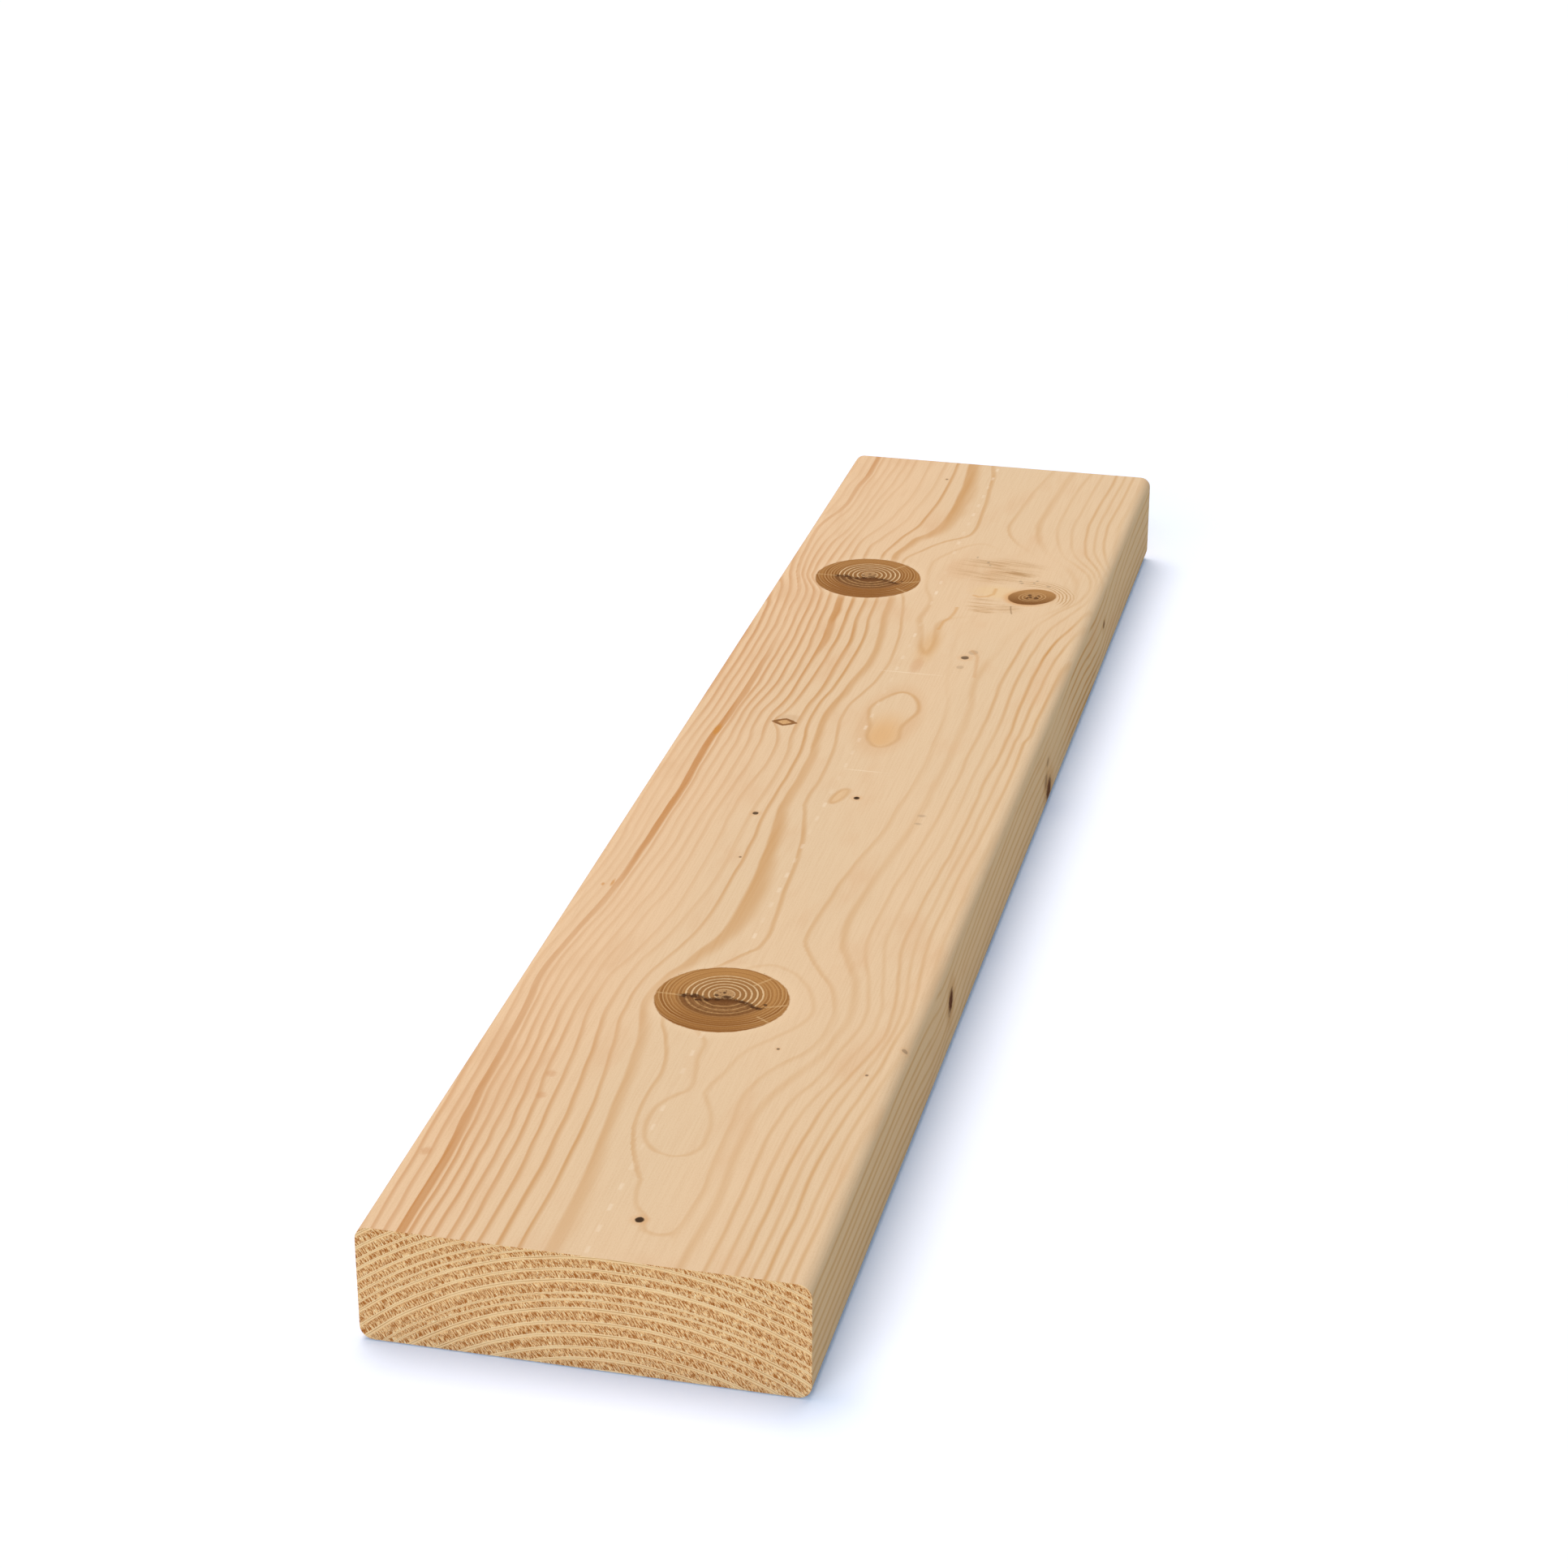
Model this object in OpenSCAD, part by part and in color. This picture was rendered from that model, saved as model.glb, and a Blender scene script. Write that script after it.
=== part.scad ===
// Planed softwood plank: one piece of sawn timber, surfaced on all four sides,
// with eased long edges and square sawn ends.
// It lies flat on its wide face. The origin is at the middle of that face,
// +X is across the plank, +Y runs along the grain and +Z is up.

/* [Plank] */
// Finished width across the wide face
plank_width = 160; // [60:1:300]
// Finished thickness
plank_thickness = 45; // [18:0.5:100]
// Length along the grain, between the two sawn ends
plank_length = 800; // [150:5:6000]

/* [Long edges] */
// Radius that the planer leaves on each of the four long edges
edge_radius = 5; // [0.5:0.5:8]

/* [Hidden] */
$fn = 64;
wood_colour = "#E4C39A";

// What the cutter takes off one corner of a square section: a square of the
// radius's own size, lying outside a quarter circle centred on its inner corner.
module corner_waste(radius) {
    difference() {
        square(radius);
        circle(r = radius);
    }
}

// Cross-section of the planed stock, standing on the X axis and centred on it.
module planed_section(width, thickness, radius) {
    difference() {
        translate([-width / 2, 0]) square([width, thickness]);
        for (across = [0, 1], up = [0, 1])
            translate([0, thickness / 2])
                mirror([across, 0])
                    mirror([0, up])
                        translate([width / 2 - radius, thickness / 2 - radius])
                            corner_waste(radius);
    }
}

// The whole plank: its section carried along the grain from one sawn end to the other.
module plank() {
    color(wood_colour)
        translate([0, plank_length / 2, 0])
            rotate([90, 0, 0])
                linear_extrude(height = plank_length)
                    planed_section(plank_width, plank_thickness, edge_radius);
}

plank();
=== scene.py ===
import math

import bpy
import numpy as np
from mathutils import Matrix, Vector
from mathutils.geometry import delaunay_2d_cdt


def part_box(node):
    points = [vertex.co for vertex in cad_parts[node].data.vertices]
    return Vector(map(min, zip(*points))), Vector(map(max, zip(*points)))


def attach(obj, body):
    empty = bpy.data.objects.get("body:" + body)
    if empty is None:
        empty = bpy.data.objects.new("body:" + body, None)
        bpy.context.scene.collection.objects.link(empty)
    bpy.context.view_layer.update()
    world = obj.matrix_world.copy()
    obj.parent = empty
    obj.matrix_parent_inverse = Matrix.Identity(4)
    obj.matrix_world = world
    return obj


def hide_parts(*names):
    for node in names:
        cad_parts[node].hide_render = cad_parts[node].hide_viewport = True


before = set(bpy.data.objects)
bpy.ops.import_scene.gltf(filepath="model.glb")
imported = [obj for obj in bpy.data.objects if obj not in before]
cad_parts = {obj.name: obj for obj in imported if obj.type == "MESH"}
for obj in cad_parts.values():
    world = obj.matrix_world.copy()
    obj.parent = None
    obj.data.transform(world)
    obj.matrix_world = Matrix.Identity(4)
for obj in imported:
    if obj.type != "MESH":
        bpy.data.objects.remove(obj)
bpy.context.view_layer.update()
scene = bpy.context.scene

# The camera: a long lens standing off the near right of the plank and looking down along it.
# Its place, tilt and lens were fitted to the plank's straight edges in the photo.
camera_place = (0.29917, -1.36198, 0.68673)
camera_tilt = math.radians(65.063)
camera_turn = math.radians(13.377)
lens_mm = 80.95
sensor_mm = 36

camera_data = bpy.data.cameras.new("camera")
camera_data.lens = lens_mm
camera_data.sensor_width = sensor_mm
camera = bpy.data.objects.new("camera", camera_data)
camera.location = camera_place
camera.rotation_euler = (camera_tilt, 0, camera_turn)
scene.collection.objects.link(camera)
scene.camera = camera
scene.view_settings.view_transform = "Standard"

# The studio: a plain white floor and three soft lights at a plain level: a wide lamp overhead, a
# little to the left, a lower one in front and a pale sky all round.
# The floor keeps the soft, slightly blue shadow on the plank's right.
floor_size = 12
floor_drop = 0.0004
floor_seen = (0.885, 0.92, 1.0, 1)
floor_bounce = (0.84, 0.80, 0.64, 1)
floor_glow = (0.0, 0.42, 1.0, 1)
floor_glow_level = 0.105
sky_colour = (0.72, 0.96, 1.26, 1)
sky_level = 0.35
lamps = {
    "overhead lamp": {
        "from": (-0.18, 0.24, 1.0),
        "spread": 44,
        "level": 0.67,
        "colour": (1.165, 0.99, 0.815),
    },
    "front lamp": {
        "from": (-0.20, -1.0, 0.46),
        "spread": 40,
        "level": 0.42,
        "colour": (0.93, 1.0, 1.09),
    },
}


def shader_node(tree, kind, inputs=None, **settings):
    """Adds a node. An input is a plain value, or another node's output to link from."""
    made = tree.nodes.new(kind)
    for name, value in settings.items():
        setattr(made, name, value)
    for socket, value in (inputs or {}).items():
        if isinstance(value, bpy.types.NodeSocket):
            tree.links.new(value, made.inputs[socket])
        else:
            made.inputs[socket].default_value = value
    return made


def seen_share(tree):
    """1 for a ray that shows the background, straight or in a reflection; 0 for one that lights."""
    path = shader_node(tree, "ShaderNodeLightPath").outputs
    share = path["Is Camera Ray"]
    for ray in ("Is Glossy Ray", "Is Transmission Ray"):
        share = shader_node(tree, "ShaderNodeMath", {0: share, 1: path[ray]}).outputs[0]
    return share


def surface(name):
    """A new material; returns it with its node tree and its principled shader."""
    material = bpy.data.materials.new(name)
    material.use_nodes = True
    return material, material.node_tree, material.node_tree.nodes["Principled BSDF"]


bpy.ops.mesh.primitive_plane_add(size=floor_size, location=(0, 0, -floor_drop))
floor = bpy.context.object
floor.name = "studio floor"
floor_material, floor_tree, floor_shader = surface("studio floor")
floor_tints = {0: seen_share(floor_tree), 6: floor_bounce, 7: floor_seen}
tint = shader_node(floor_tree, "ShaderNodeMix", floor_tints, data_type="RGBA")
floor_tree.links.new(tint.outputs[2], floor_shader.inputs["Base Color"])
floor_shader.inputs["Emission Color"].default_value = floor_glow
glow_parts = {0: seen_share(floor_tree), 1: floor_glow_level}
glow = shader_node(floor_tree, "ShaderNodeMath", glow_parts, operation="MULTIPLY")
floor_tree.links.new(glow.outputs[0], floor_shader.inputs["Emission Strength"])
floor_shader.inputs["Roughness"].default_value = 1
floor_shader.inputs["Specular IOR Level"].default_value = 0
floor.data.materials.append(floor_material)

for name, lamp in lamps.items():
    light = bpy.data.lights.new(name, "SUN")
    light.angle = math.radians(lamp["spread"])
    light.energy = lamp["level"] * math.pi
    light.color = lamp["colour"]
    stand = bpy.data.objects.new(name, light)
    stand.rotation_euler = Vector(lamp["from"]).to_track_quat("Z", "Y").to_euler()
    scene.collection.objects.link(stand)

world = bpy.data.worlds.new("studio")
scene.world = world
world.use_nodes = True
sky_tree = world.node_tree
sky = sky_tree.nodes["Background"]
sky.inputs["Color"].default_value = sky_colour
sky.inputs["Strength"].default_value = sky_level
backdrop = shader_node(sky_tree, "ShaderNodeBackground", {"Color": (1, 1, 1, 1), "Strength": 1})
sky_parts = {0: seen_share(sky_tree), 1: sky.outputs[0], 2: backdrop.outputs[0]}
shown = shader_node(sky_tree, "ShaderNodeMixShader", sky_parts)
sky_tree.links.new(shown.outputs[0], sky_tree.nodes["World Output"].inputs["Surface"])

# The plank: one length of softwood, sawn square at both ends, planed on four sides with its
# long edges rounded. All of it is one piece of wood, so growth rings and knots run through it.
# Sizes below are in millimetres in the plank's own frame, and become metres in the mesh.
mm = 0.001
_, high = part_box("plank")
half_width = high.x / mm
half_length = high.y / mm
thickness = high.z / mm
edge_radius = 5

# Growth rings, as lines on the top face. A line is a run of (along, across) places; lines count
# outward from the middle, where the oldest wood lies nearest to the surface.
left_lines = {
    1: [
        (-400, 15), (-372, 16), (-366, 11), (-355, 7.6), (-348, 7), (-343, 4.4), (-327, -2.2),
        (-308, -5.8), (-288, -7), (-275, -6.4), (-266, -7.2), (-248, -11.7), (-237, -16), (-215, -20),
        (-186, -5), (-175, 1.5), (-170, 5.2), (-160, 6.3), (-150, 6.1), (-122, 4.2), (-95, 1.8),
        (-68, -1), (-45, -5.5), (-38, -7.6), (-30, -7.8), (-12, -6.7), (0, -6.8), (25, -8.3),
        (45, -10.7), (57, -11.7), (67, -11.4), (84, -8.3), (103, -5), (125, -3.5), (147, -4.9),
        (170, -7.8), (200, -12.6), (225, -20), (252, -23.3), (270, -16.7), (284, -7.8), (289, -2.2),
        (295, 2.2), (306, 3.5), (340, 2.2), (368, -0.3), (400, -5),
    ],
    2: [
        (-400, -12), (-385, -11.6), (-355, -12.2), (-333, -13.9), (-310, -15.8), (-290, -17.3),
        (-267, -19.5), (-245, -22.2), (-235, -24.4), (-222, -26.3), (-200, -23.5), (-190, -20),
        (-182, -17.8), (-166, -12.8), (-158, -11.4), (-148, -10.8), (-130, -10.6), (-105, -11),
        (-78, -12.8), (-52, -15.6), (-42, -17), (-33, -16.9), (-15, -15.5), (0, -15.3), (12, -15.9),
        (32, -18.4), (52, -20), (62, -19.6), (82, -17.3), (102, -15.3), (122, -13.6), (132, -13.6),
        (153, -15.2), (177, -18), (200, -19.4), (225, -26), (258, -29.4), (271, -26.1), (283, -23.9),
        (292, -18.9), (300, -16.1), (313, -14.4), (335, -13.7), (360, -14.2), (400, -17),
    ],
    3: [
        (-400, -21.4), (-360, -21.3), (-330, -22.2), (-300, -24.4), (-277, -26.9), (-250, -30),
        (-232, -32.2), (-220, -32.5), (-202, -31), (-190, -28.9), (-173, -24.7), (-166, -22.8),
        (-150, -20.8), (-125, -19.8), (-100, -19.6), (-80, -20), (-53, -21.4), (-38, -21.9),
        (-15, -21.3), (0, -20.8), (15, -21.2), (32, -23), (41, -24.4), (57, -25.3), (72, -24.6),
        (92, -22.7), (112, -21.7), (137, -21.6), (160, -22.8), (172, -24.2), (200, -25.6), (225, -34),
        (258, -35.6), (269, -33.9), (283, -31.1), (306, -25.6), (319, -24.4), (350, -22.9), (400, -24),
    ],
    4: [
        (-400, -29.2), (-350, -29.3), (-320, -30.7), (-300, -32), (-273, -34.4), (-252, -36.7),
        (-232, -39.1), (-212, -39.3), (-197, -38), (-173, -33.3), (-150, -29.4), (-122, -27.2),
        (-97, -26.1), (-77, -26.7), (-48, -27.6), (-15, -26.1), (0, -25.6), (12, -26), (32, -29),
        (45, -29.6), (62, -29.6), (82, -28), (110, -27.1), (130, -27), (150, -28), (175, -30.3),
        (200, -31.1), (225, -42), (265, -43.6), (281, -40.6), (313, -33.3), (340, -31.1), (370, -30),
        (400, -30.5),
    ],
    5: [
        (-400, -36.3), (-350, -36.4), (-325, -37.4), (-308, -39), (-278, -40.9), (-250, -43.3),
        (-223, -45.6), (-208, -45.3), (-187, -41.7), (-157, -36.8), (-132, -34.6), (-105, -34.2),
        (-75, -34.7), (-45, -35.6), (-15, -34), (0, -32.4), (15, -33), (34, -36), (46, -40.5),
        (58, -37.5), (70, -35.8), (92, -34.3), (120, -33.7), (148, -34.2), (176, -36.4), (200, -37.8),
        (225, -49), (265, -50.2), (277, -48.9), (300, -43.3), (317, -40.6), (345, -37.8), (400, -38.5),
    ],
    6: [
        (-400, -42.2), (-360, -42.4), (-330, -43.6), (-300, -45.8), (-282, -47.8), (-250, -49.4),
        (-222, -50.9), (-200, -50.9), (-170, -47.5), (-150, -45.5), (-125, -42.6), (-95, -41.9),
        (-55, -42.4), (-25, -41.8), (0, -40.6), (20, -40.7), (40, -43), (50, -43.3), (66, -41.2),
        (80, -40), (105, -39.9), (135, -40.3), (163, -41.7), (200, -44.4), (225, -56), (265, -54.4),
        (300, -52.5), (323, -50.6), (345, -48.5), (370, -46.6), (400, -46.3),
    ],
    8: [
        (-400, -52.2), (-380, -51.9), (-340, -52.7), (-320, -53.6), (-297, -55.5), (-267, -57.2),
        (-237, -59.5), (-208, -60.2), (-175, -57.8), (-150, -55.3), (-130, -53.3), (-100, -52),
        (-50, -51.3), (0, -50.9), (15, -51), (35, -52.6), (50, -52.6), (72, -50.6), (95, -49.4),
        (130, -49.6), (160, -51), (200, -54), (225, -64.1), (250, -64.4), (265, -64), (290, -60),
        (320, -57.5), (365, -56.2), (400, -56.1),
    ],
    11: [
        (-400, -64.8), (-360, -65), (-330, -66.4), (-305, -68), (-272, -68.9), (-242, -70.2),
        (-205, -72), (-185, -70.8), (-150, -66.9), (-120, -64.7), (-95, -64.1), (-40, -63.5),
        (0, -63.9), (20, -64.2), (45, -63), (75, -62.2), (110, -61.9), (150, -62.6), (175, -63.5),
        (200, -65.5), (225, -71.4), (250, -74.4), (285, -75.6), (304, -73.3), (315, -70.6), (333, -69),
        (350, -69.4), (371, -67.5), (400, -68.3),
    ],
    14: [
        (-400, -78.3), (-300, -81), (-205, -84), (-100, -74.5), (0, -76), (45, -74.4), (110, -73.3),
        (175, -75), (225, -82), (285, -86), (400, -80),
    ],
}
right_lines = {
    1: [
        (-400, 29), (-378, 27.5), (-365, 28.7), (-350, 29.5), (-338, 28.5), (-310, 28), (-290, 27),
        (-283, 27.2), (-275, 28.5), (-257, 36), (-244, 43.5), (-230, 46), (-218, 46.5), (-209, 45),
        (-196, 40.5), (-182, 32), (-167, 24), (-161, 22), (-152, 21.5), (-130, 22.7), (-107, 24),
        (-85, 26.3), (-66, 29.8), (-50, 31.6), (-35, 32), (-10, 34.5), (5, 35.1), (45, 34), (76, 32.5),
        (92, 29.8), (106, 27), (124, 25), (139, 22.8), (160, 21), (174, 20), (180, 22.5), (190, 38),
        (200, 52), (212, 60), (225, 62.5), (240, 60), (255, 53), (275, 38), (291, 26), (304, 20.3),
        (311, 19.5), (328, 20.6), (350, 21.8), (372, 23.8), (400, 28.2),
    ],
    2: [
        (-400, 34.7), (-372, 36), (-350, 36.3), (-320, 34.8), (-300, 35), (-290, 36), (-280, 38),
        (-250, 47.8), (-233, 51), (-221, 52.3), (-205, 51.3), (-186, 47.5), (-171, 41.5), (-157, 36.8),
        (-138, 35), (-112, 36), (-88, 38), (-63, 40.5), (-45, 42.3), (-10, 43.3), (22, 44.3), (55, 44),
        (80, 43), (100, 40), (112, 39), (125, 39.5), (145, 42.5), (165, 44.5), (180, 48.5), (195, 55),
        (210, 64), (225, 67), (240, 65.5), (255, 60), (270, 50), (290, 39.5), (300, 36.5), (318, 33.8),
        (345, 35), (375, 37), (400, 39.5),
    ],
    3: [
        (-400, 42.7), (-370, 43.5), (-310, 43.4), (-290, 45), (-282, 46.3), (-267, 50.5), (-248, 54),
        (-230, 57.2), (-222, 58), (-212, 57.8), (-192, 54), (-171, 48.5), (-162, 46.8), (-152, 46),
        (-140, 45.8), (-110, 46.3), (-97, 46.8), (-85, 48), (-60, 49.6), (-30, 50.9), (0, 51.6),
        (30, 51.9), (65, 53), (92, 52.1), (110, 51.8), (158, 53), (172, 54.4), (181, 55.6), (197, 61),
        (206, 65), (215, 69.3), (226, 72.1), (235, 72.9), (244, 72), (254, 69), (262, 64.2),
        (276, 53.5), (282, 51.2), (298, 46.8), (307, 45.2), (320, 44.5), (342, 44.8), (368, 45.8),
        (400, 48.5),
    ],
    5: [
        (-400, 54.2), (-350, 54.9), (-308, 55.8), (-295, 56.6), (-283, 58), (-262, 61.8), (-222, 68.4),
        (-213, 68), (-180, 64), (-168, 62), (-158, 60.8), (-145, 60.3), (-118, 60.6), (-88, 62),
        (-55, 63.3), (-10, 64), (20, 64.7), (52, 65.4), (70, 65), (105, 64.6), (130, 64.9), (145, 65.4),
        (155, 66.3), (171, 69.5), (196, 75), (225, 78.6), (240, 78), (257, 74.3), (267, 70),
        (282, 63.5), (302, 60.5), (320, 59.3), (340, 59.8), (400, 62.2),
    ],
    7: [
        (-400, 63.5), (-325, 64.5), (-308, 65.3), (-271, 69), (-250, 71.5), (-232, 72.8), (-210, 74.8),
        (-198, 73.7), (-161, 70.3), (-137, 69.5), (-107, 70), (-40, 72.5), (0, 73.3), (25, 73.9),
        (46, 73.6), (55, 74.7), (66, 74.7), (100, 75.1), (130, 76.1), (142, 77), (152, 78.5), (175, 81),
        (225, 86), (257, 82), (275, 75), (302, 70.5), (325, 69.2), (355, 70.2), (400, 71.5),
    ],
    9: [
        (-400, 73.5), (-350, 74), (-310, 75.3), (-285, 77.5), (-222, 82), (-100, 81), (0, 83),
        (100, 84), (225, 92), (300, 81), (400, 81),
    ],
}
# Where the ring count along the middle falls below a whole number, an island of older wood shows.
# The islands lean to one side of the middle by the second run.
middle_count = [
    (-400, 1.3), (-390, 1.12), (-381, 1.0), (-372, 0.85), (-360, 0.6), (-345, 0.3), (-335, 0.08),
    (-330, 0), (-329, -0.08), (-325, -0.48), (-320, -0.8), (-310, -0.88), (-300, -0.6),
    (-295, -0.35), (-290, -0.16), (-285, -0.04), (-280, -0.03), (-270, -0.075), (-260, -0.105),
    (-250, -0.115), (-240, -0.3), (-215, -1.2), (-190, -0.4), (-183, 0), (-172, 0.25), (-150, 0.42),
    (5, 0.42), (20, 0.2), (25, 0.06), (28, 0), (30, -0.02), (35, -0.08), (40, -0.118), (50, -0.115),
    (60, -0.184), (70, -0.313), (80, -0.208), (85, -0.109), (90, 0), (95, 0.06), (105, 0.14),
    (118, 0.14), (130, 0.04), (138, 0), (150, -0.058), (160, -0.067), (170, -0.085), (180, -0.17),
    (195, -0.5), (225, -0.8), (255, -0.6), (275, -0.2), (284, 0), (295, 0.2), (315, 0.4),
    (400, 0.45),
]
middle_lean = [
    (-400, 0), (-335, 0), (-329, -0.7), (-325, -2.3), (-315, -3), (-305, -2.5), (-290, -0.9),
    (-280, 0.8), (-270, 0), (-260, -2.5), (-245, -3.3), (-215, 0), (0, 0), (30, -2), (85, -1.2),
    (110, 0), (150, 1.3), (165, 0.3), (180, -1.3), (200, 0), (400, 0),
]
# A small islet of older wood a little right of the middle, about half way along.
islet_place = (5.5, -26)
islet_size = (3.8, 11)
islet_slant = 0.22
islet_age = 0.8
# How deep one ring lies in the wood, and how far a branch leans along the plank for its depth.
ring_depth = 5
branch_slant = 0.35


def smooth_run(points, at):
    """A smooth curve through (place, value) points, read at the places given."""
    place, value = np.array(points, float).T
    rise = np.diff(value) / np.diff(place)
    level = rise[1:] * rise[:-1] <= 0
    inner = 2 * rise[1:] * rise[:-1] / np.where(level, 1, rise[1:] + rise[:-1])
    slope = np.concatenate([rise[:1], np.where(level, 0, inner), rise[-1:]])
    k = np.clip(np.searchsorted(place, at) - 1, 0, len(place) - 2)
    gap = place[k + 1] - place[k]
    t = np.clip((at - place[k]) / gap, 0, 1)
    start = value[k] * (1 + 2 * t) * (1 - t) ** 2 + slope[k] * gap * t * (1 - t) ** 2
    end = value[k + 1] * t**2 * (3 - 2 * t) - slope[k + 1] * gap * t**2 * (1 - t)
    return start + end


def rough(across, along, seed):
    """Smooth random heights from 0 to 1 on a lattice of unit cells, always the same for one seed."""
    cells = 512
    heights = np.random.default_rng(seed).random((cells, cells))
    a, b = np.floor(across).astype(int), np.floor(along).astype(int)
    s, t = across - a, along - b
    s, t = s * s * (3 - 2 * s), t * t * (3 - 2 * t)
    a, b, a1, b1 = a % cells, b % cells, (a + 1) % cells, (b + 1) % cells
    near = heights[a, b] * (1 - s) + heights[a1, b] * s
    far = heights[a, b1] * (1 - s) + heights[a1, b1] * s
    return near * (1 - t) + far * t


def ring_count(x, y, z):
    """Growth rings between the middle of the plank and each point: the top's lines, carried down."""
    below = thickness - z
    x = x + (rough(x / 9, y / 30, 21) - 0.5) * 1.1 + (rough(x / 4, y / 12, 22) - 0.5) * 0.5
    along = np.clip(y + branch_slant * below, -half_length, half_length)
    floor_count = smooth_run(middle_count, along)
    first_count = np.maximum(1, floor_count + 0.05)
    count = np.zeros_like(x)
    for lines in (left_lines, right_lines):
        order = sorted(lines)
        places = [smooth_run(lines[n], along) for n in order]
        for inner, outer, n0, n1 in zip(places, places[1:], order, order[1:]):
            share = (x - inner) / (outer - inner)
            last = n1 == order[-1]
            here = (share >= 0) & ((share < 1) | last)
            start = first_count if n0 == 1 else n0
            count = np.where(here, start + share * (n1 - start), count)
    first_left = smooth_run(left_lines[1], along)
    first_right = smooth_run(right_lines[1], along)
    middle = (first_left + first_right) / 2
    lean = smooth_run(middle_lean, along)
    side = np.where(x < middle + lean, first_left, first_right)
    share = (x - middle - lean) / (side - middle - lean)
    between = (x > first_left) & (x < first_right)
    count = np.where(between, floor_count + (first_count - floor_count) * share**2, count)
    islet_along = along - islet_place[1]
    islet_across = x - islet_place[0] - islet_slant * islet_along
    islet = (islet_across / islet_size[0]) ** 2 + (islet_along / islet_size[1]) ** 2
    count = count - islet_age * np.exp(-islet)
    return count - below / ring_depth


# The mesh of the planed faces: the rounded section, repeated at stations along the grain.
# Stations stand closer at the two large knots, whose cracks are real relief, and at the resin pocket.
# A knot is its place across and along the top and its radius; the third and small one has no relief.
knots = [(1.9, -214.4, 26), (-35.6, 225, 26), (47.5, 218.75, 11)]
knot_margin = 3
pocket_reach = (39, 51)
fine_step = 1.0
plain_step = 3.5
arc_steps = 6
# Steps round the section, on the right side, the underside, the left side and the top.
face_steps = (2.5, 3.0, 2.5, 1.25)


def spread(start, end, step):
    """Evenly spaced places from start up to end, without end itself."""
    return np.linspace(start, end, max(1, round(abs(end - start) / step)), endpoint=False)


stations = []
reach = [pocket_reach]
for _, knot_y, radius in knots[:2]:
    reach.append((knot_y - radius - knot_margin, knot_y + radius + knot_margin))
y_from = -half_length
for start, end in sorted(reach):
    stations += [*spread(y_from, start, plain_step), *spread(start, end, fine_step)]
    y_from = end
stations = np.array([*stations, *spread(y_from, half_length, plain_step), half_length])

flat = half_width - edge_radius
wall = thickness - edge_radius
corners = [(flat, wall, 90), (flat, edge_radius, 0), (-flat, edge_radius, -90), (-flat, wall, -180)]
loop = []
for (x0, z0, angle), (x1, z1, _), step in zip(corners, corners[1:] + corners[:1], face_steps):
    for a in np.radians(np.linspace(angle, angle - 90, arc_steps + 1)):
        loop.append((x0 + edge_radius * math.cos(a), z0 + edge_radius * math.sin(a)))
    start = np.array(loop[-1])
    end_angle = math.radians(angle - 90)
    end = np.array((x1 + edge_radius * math.cos(end_angle), z1 + edge_radius * math.sin(end_angle)))
    for t in spread(0, 1, step / np.linalg.norm(end - start))[1:]:
        loop.append(tuple(start + (end - start) * t))
loop = np.array(loop)
around = len(loop)
grid_y = np.repeat(stations, around)
grid_x = np.tile(loop[:, 0], len(stations))
grid_z = np.tile(loop[:, 1], len(stations))
body = np.stack([grid_x, grid_y, grid_z], 1)
quads = []
for j in range(len(stations) - 1):
    for i in range(around):
        k = (i + 1) % around
        quads.append((j * around + i, j * around + k, (j + 1) * around + k, (j + 1) * around + i))

# The sawn ends: a fine net of points inside the section, closed to the planed faces' last loop.
# The net carries the grain that the saw tore as real relief.
end_step = 0.75
net_inset = 0.6
net_gap = 0.5
net_across = np.arange(-half_width + net_inset, half_width - net_gap, end_step)
net_up = np.arange(net_inset, thickness - net_gap, end_step)
gx, gz = np.meshgrid(net_across, net_up)
corner_x = np.maximum(np.abs(gx) - flat, 0)
corner_z = np.maximum(np.abs(gz - thickness / 2) - (thickness / 2 - edge_radius), 0)
inside = np.hypot(corner_x, corner_z) < edge_radius - net_gap
net = np.stack([gx[inside], gz[inside]], 1)
flat_points = [Vector(p) for p in np.vstack([loop, net])]
filled = delaunay_2d_cdt(flat_points, [], [list(range(around))], 1, 1e-6)
end_faces = [[filled[3][v][0] for v in f] for f in filled[2]]


# Growth rings on a sawn end are arcs about a pith far below the plank, a little right of its
# middle, and bend a little more than circles on each side. Good years are wide and lean ones
# narrow; the list is their widths, from the pith outward.
pith_across = 11
pith_below = 125
left_bend = 1.12
right_bend = 1.06
first_ring_up = 4
first_ring_share = 0.12
year_widths = [
    4.4, 4.7, 4.5, 5.3, 4.7, 5.5, 3.3, 2.5, 5.5, 4.2, 4.8, 2.5, 3.3, 3.8, 4.0, 3.0, 4.2, 4.5, 4.5, 4.5,
]


def end_rings(x, z):
    """Growth rings between the plank's underside and each point of a sawn end."""
    aside = (x - pith_across) * np.where(x < pith_across, left_bend, right_bend)
    radius = np.hypot(aside, z + pith_below) - pith_below + first_ring_up
    years = np.arange(len(year_widths) + 1)
    return np.interp(radius, np.cumsum([0, *year_widths]), years) + first_ring_share


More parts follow.
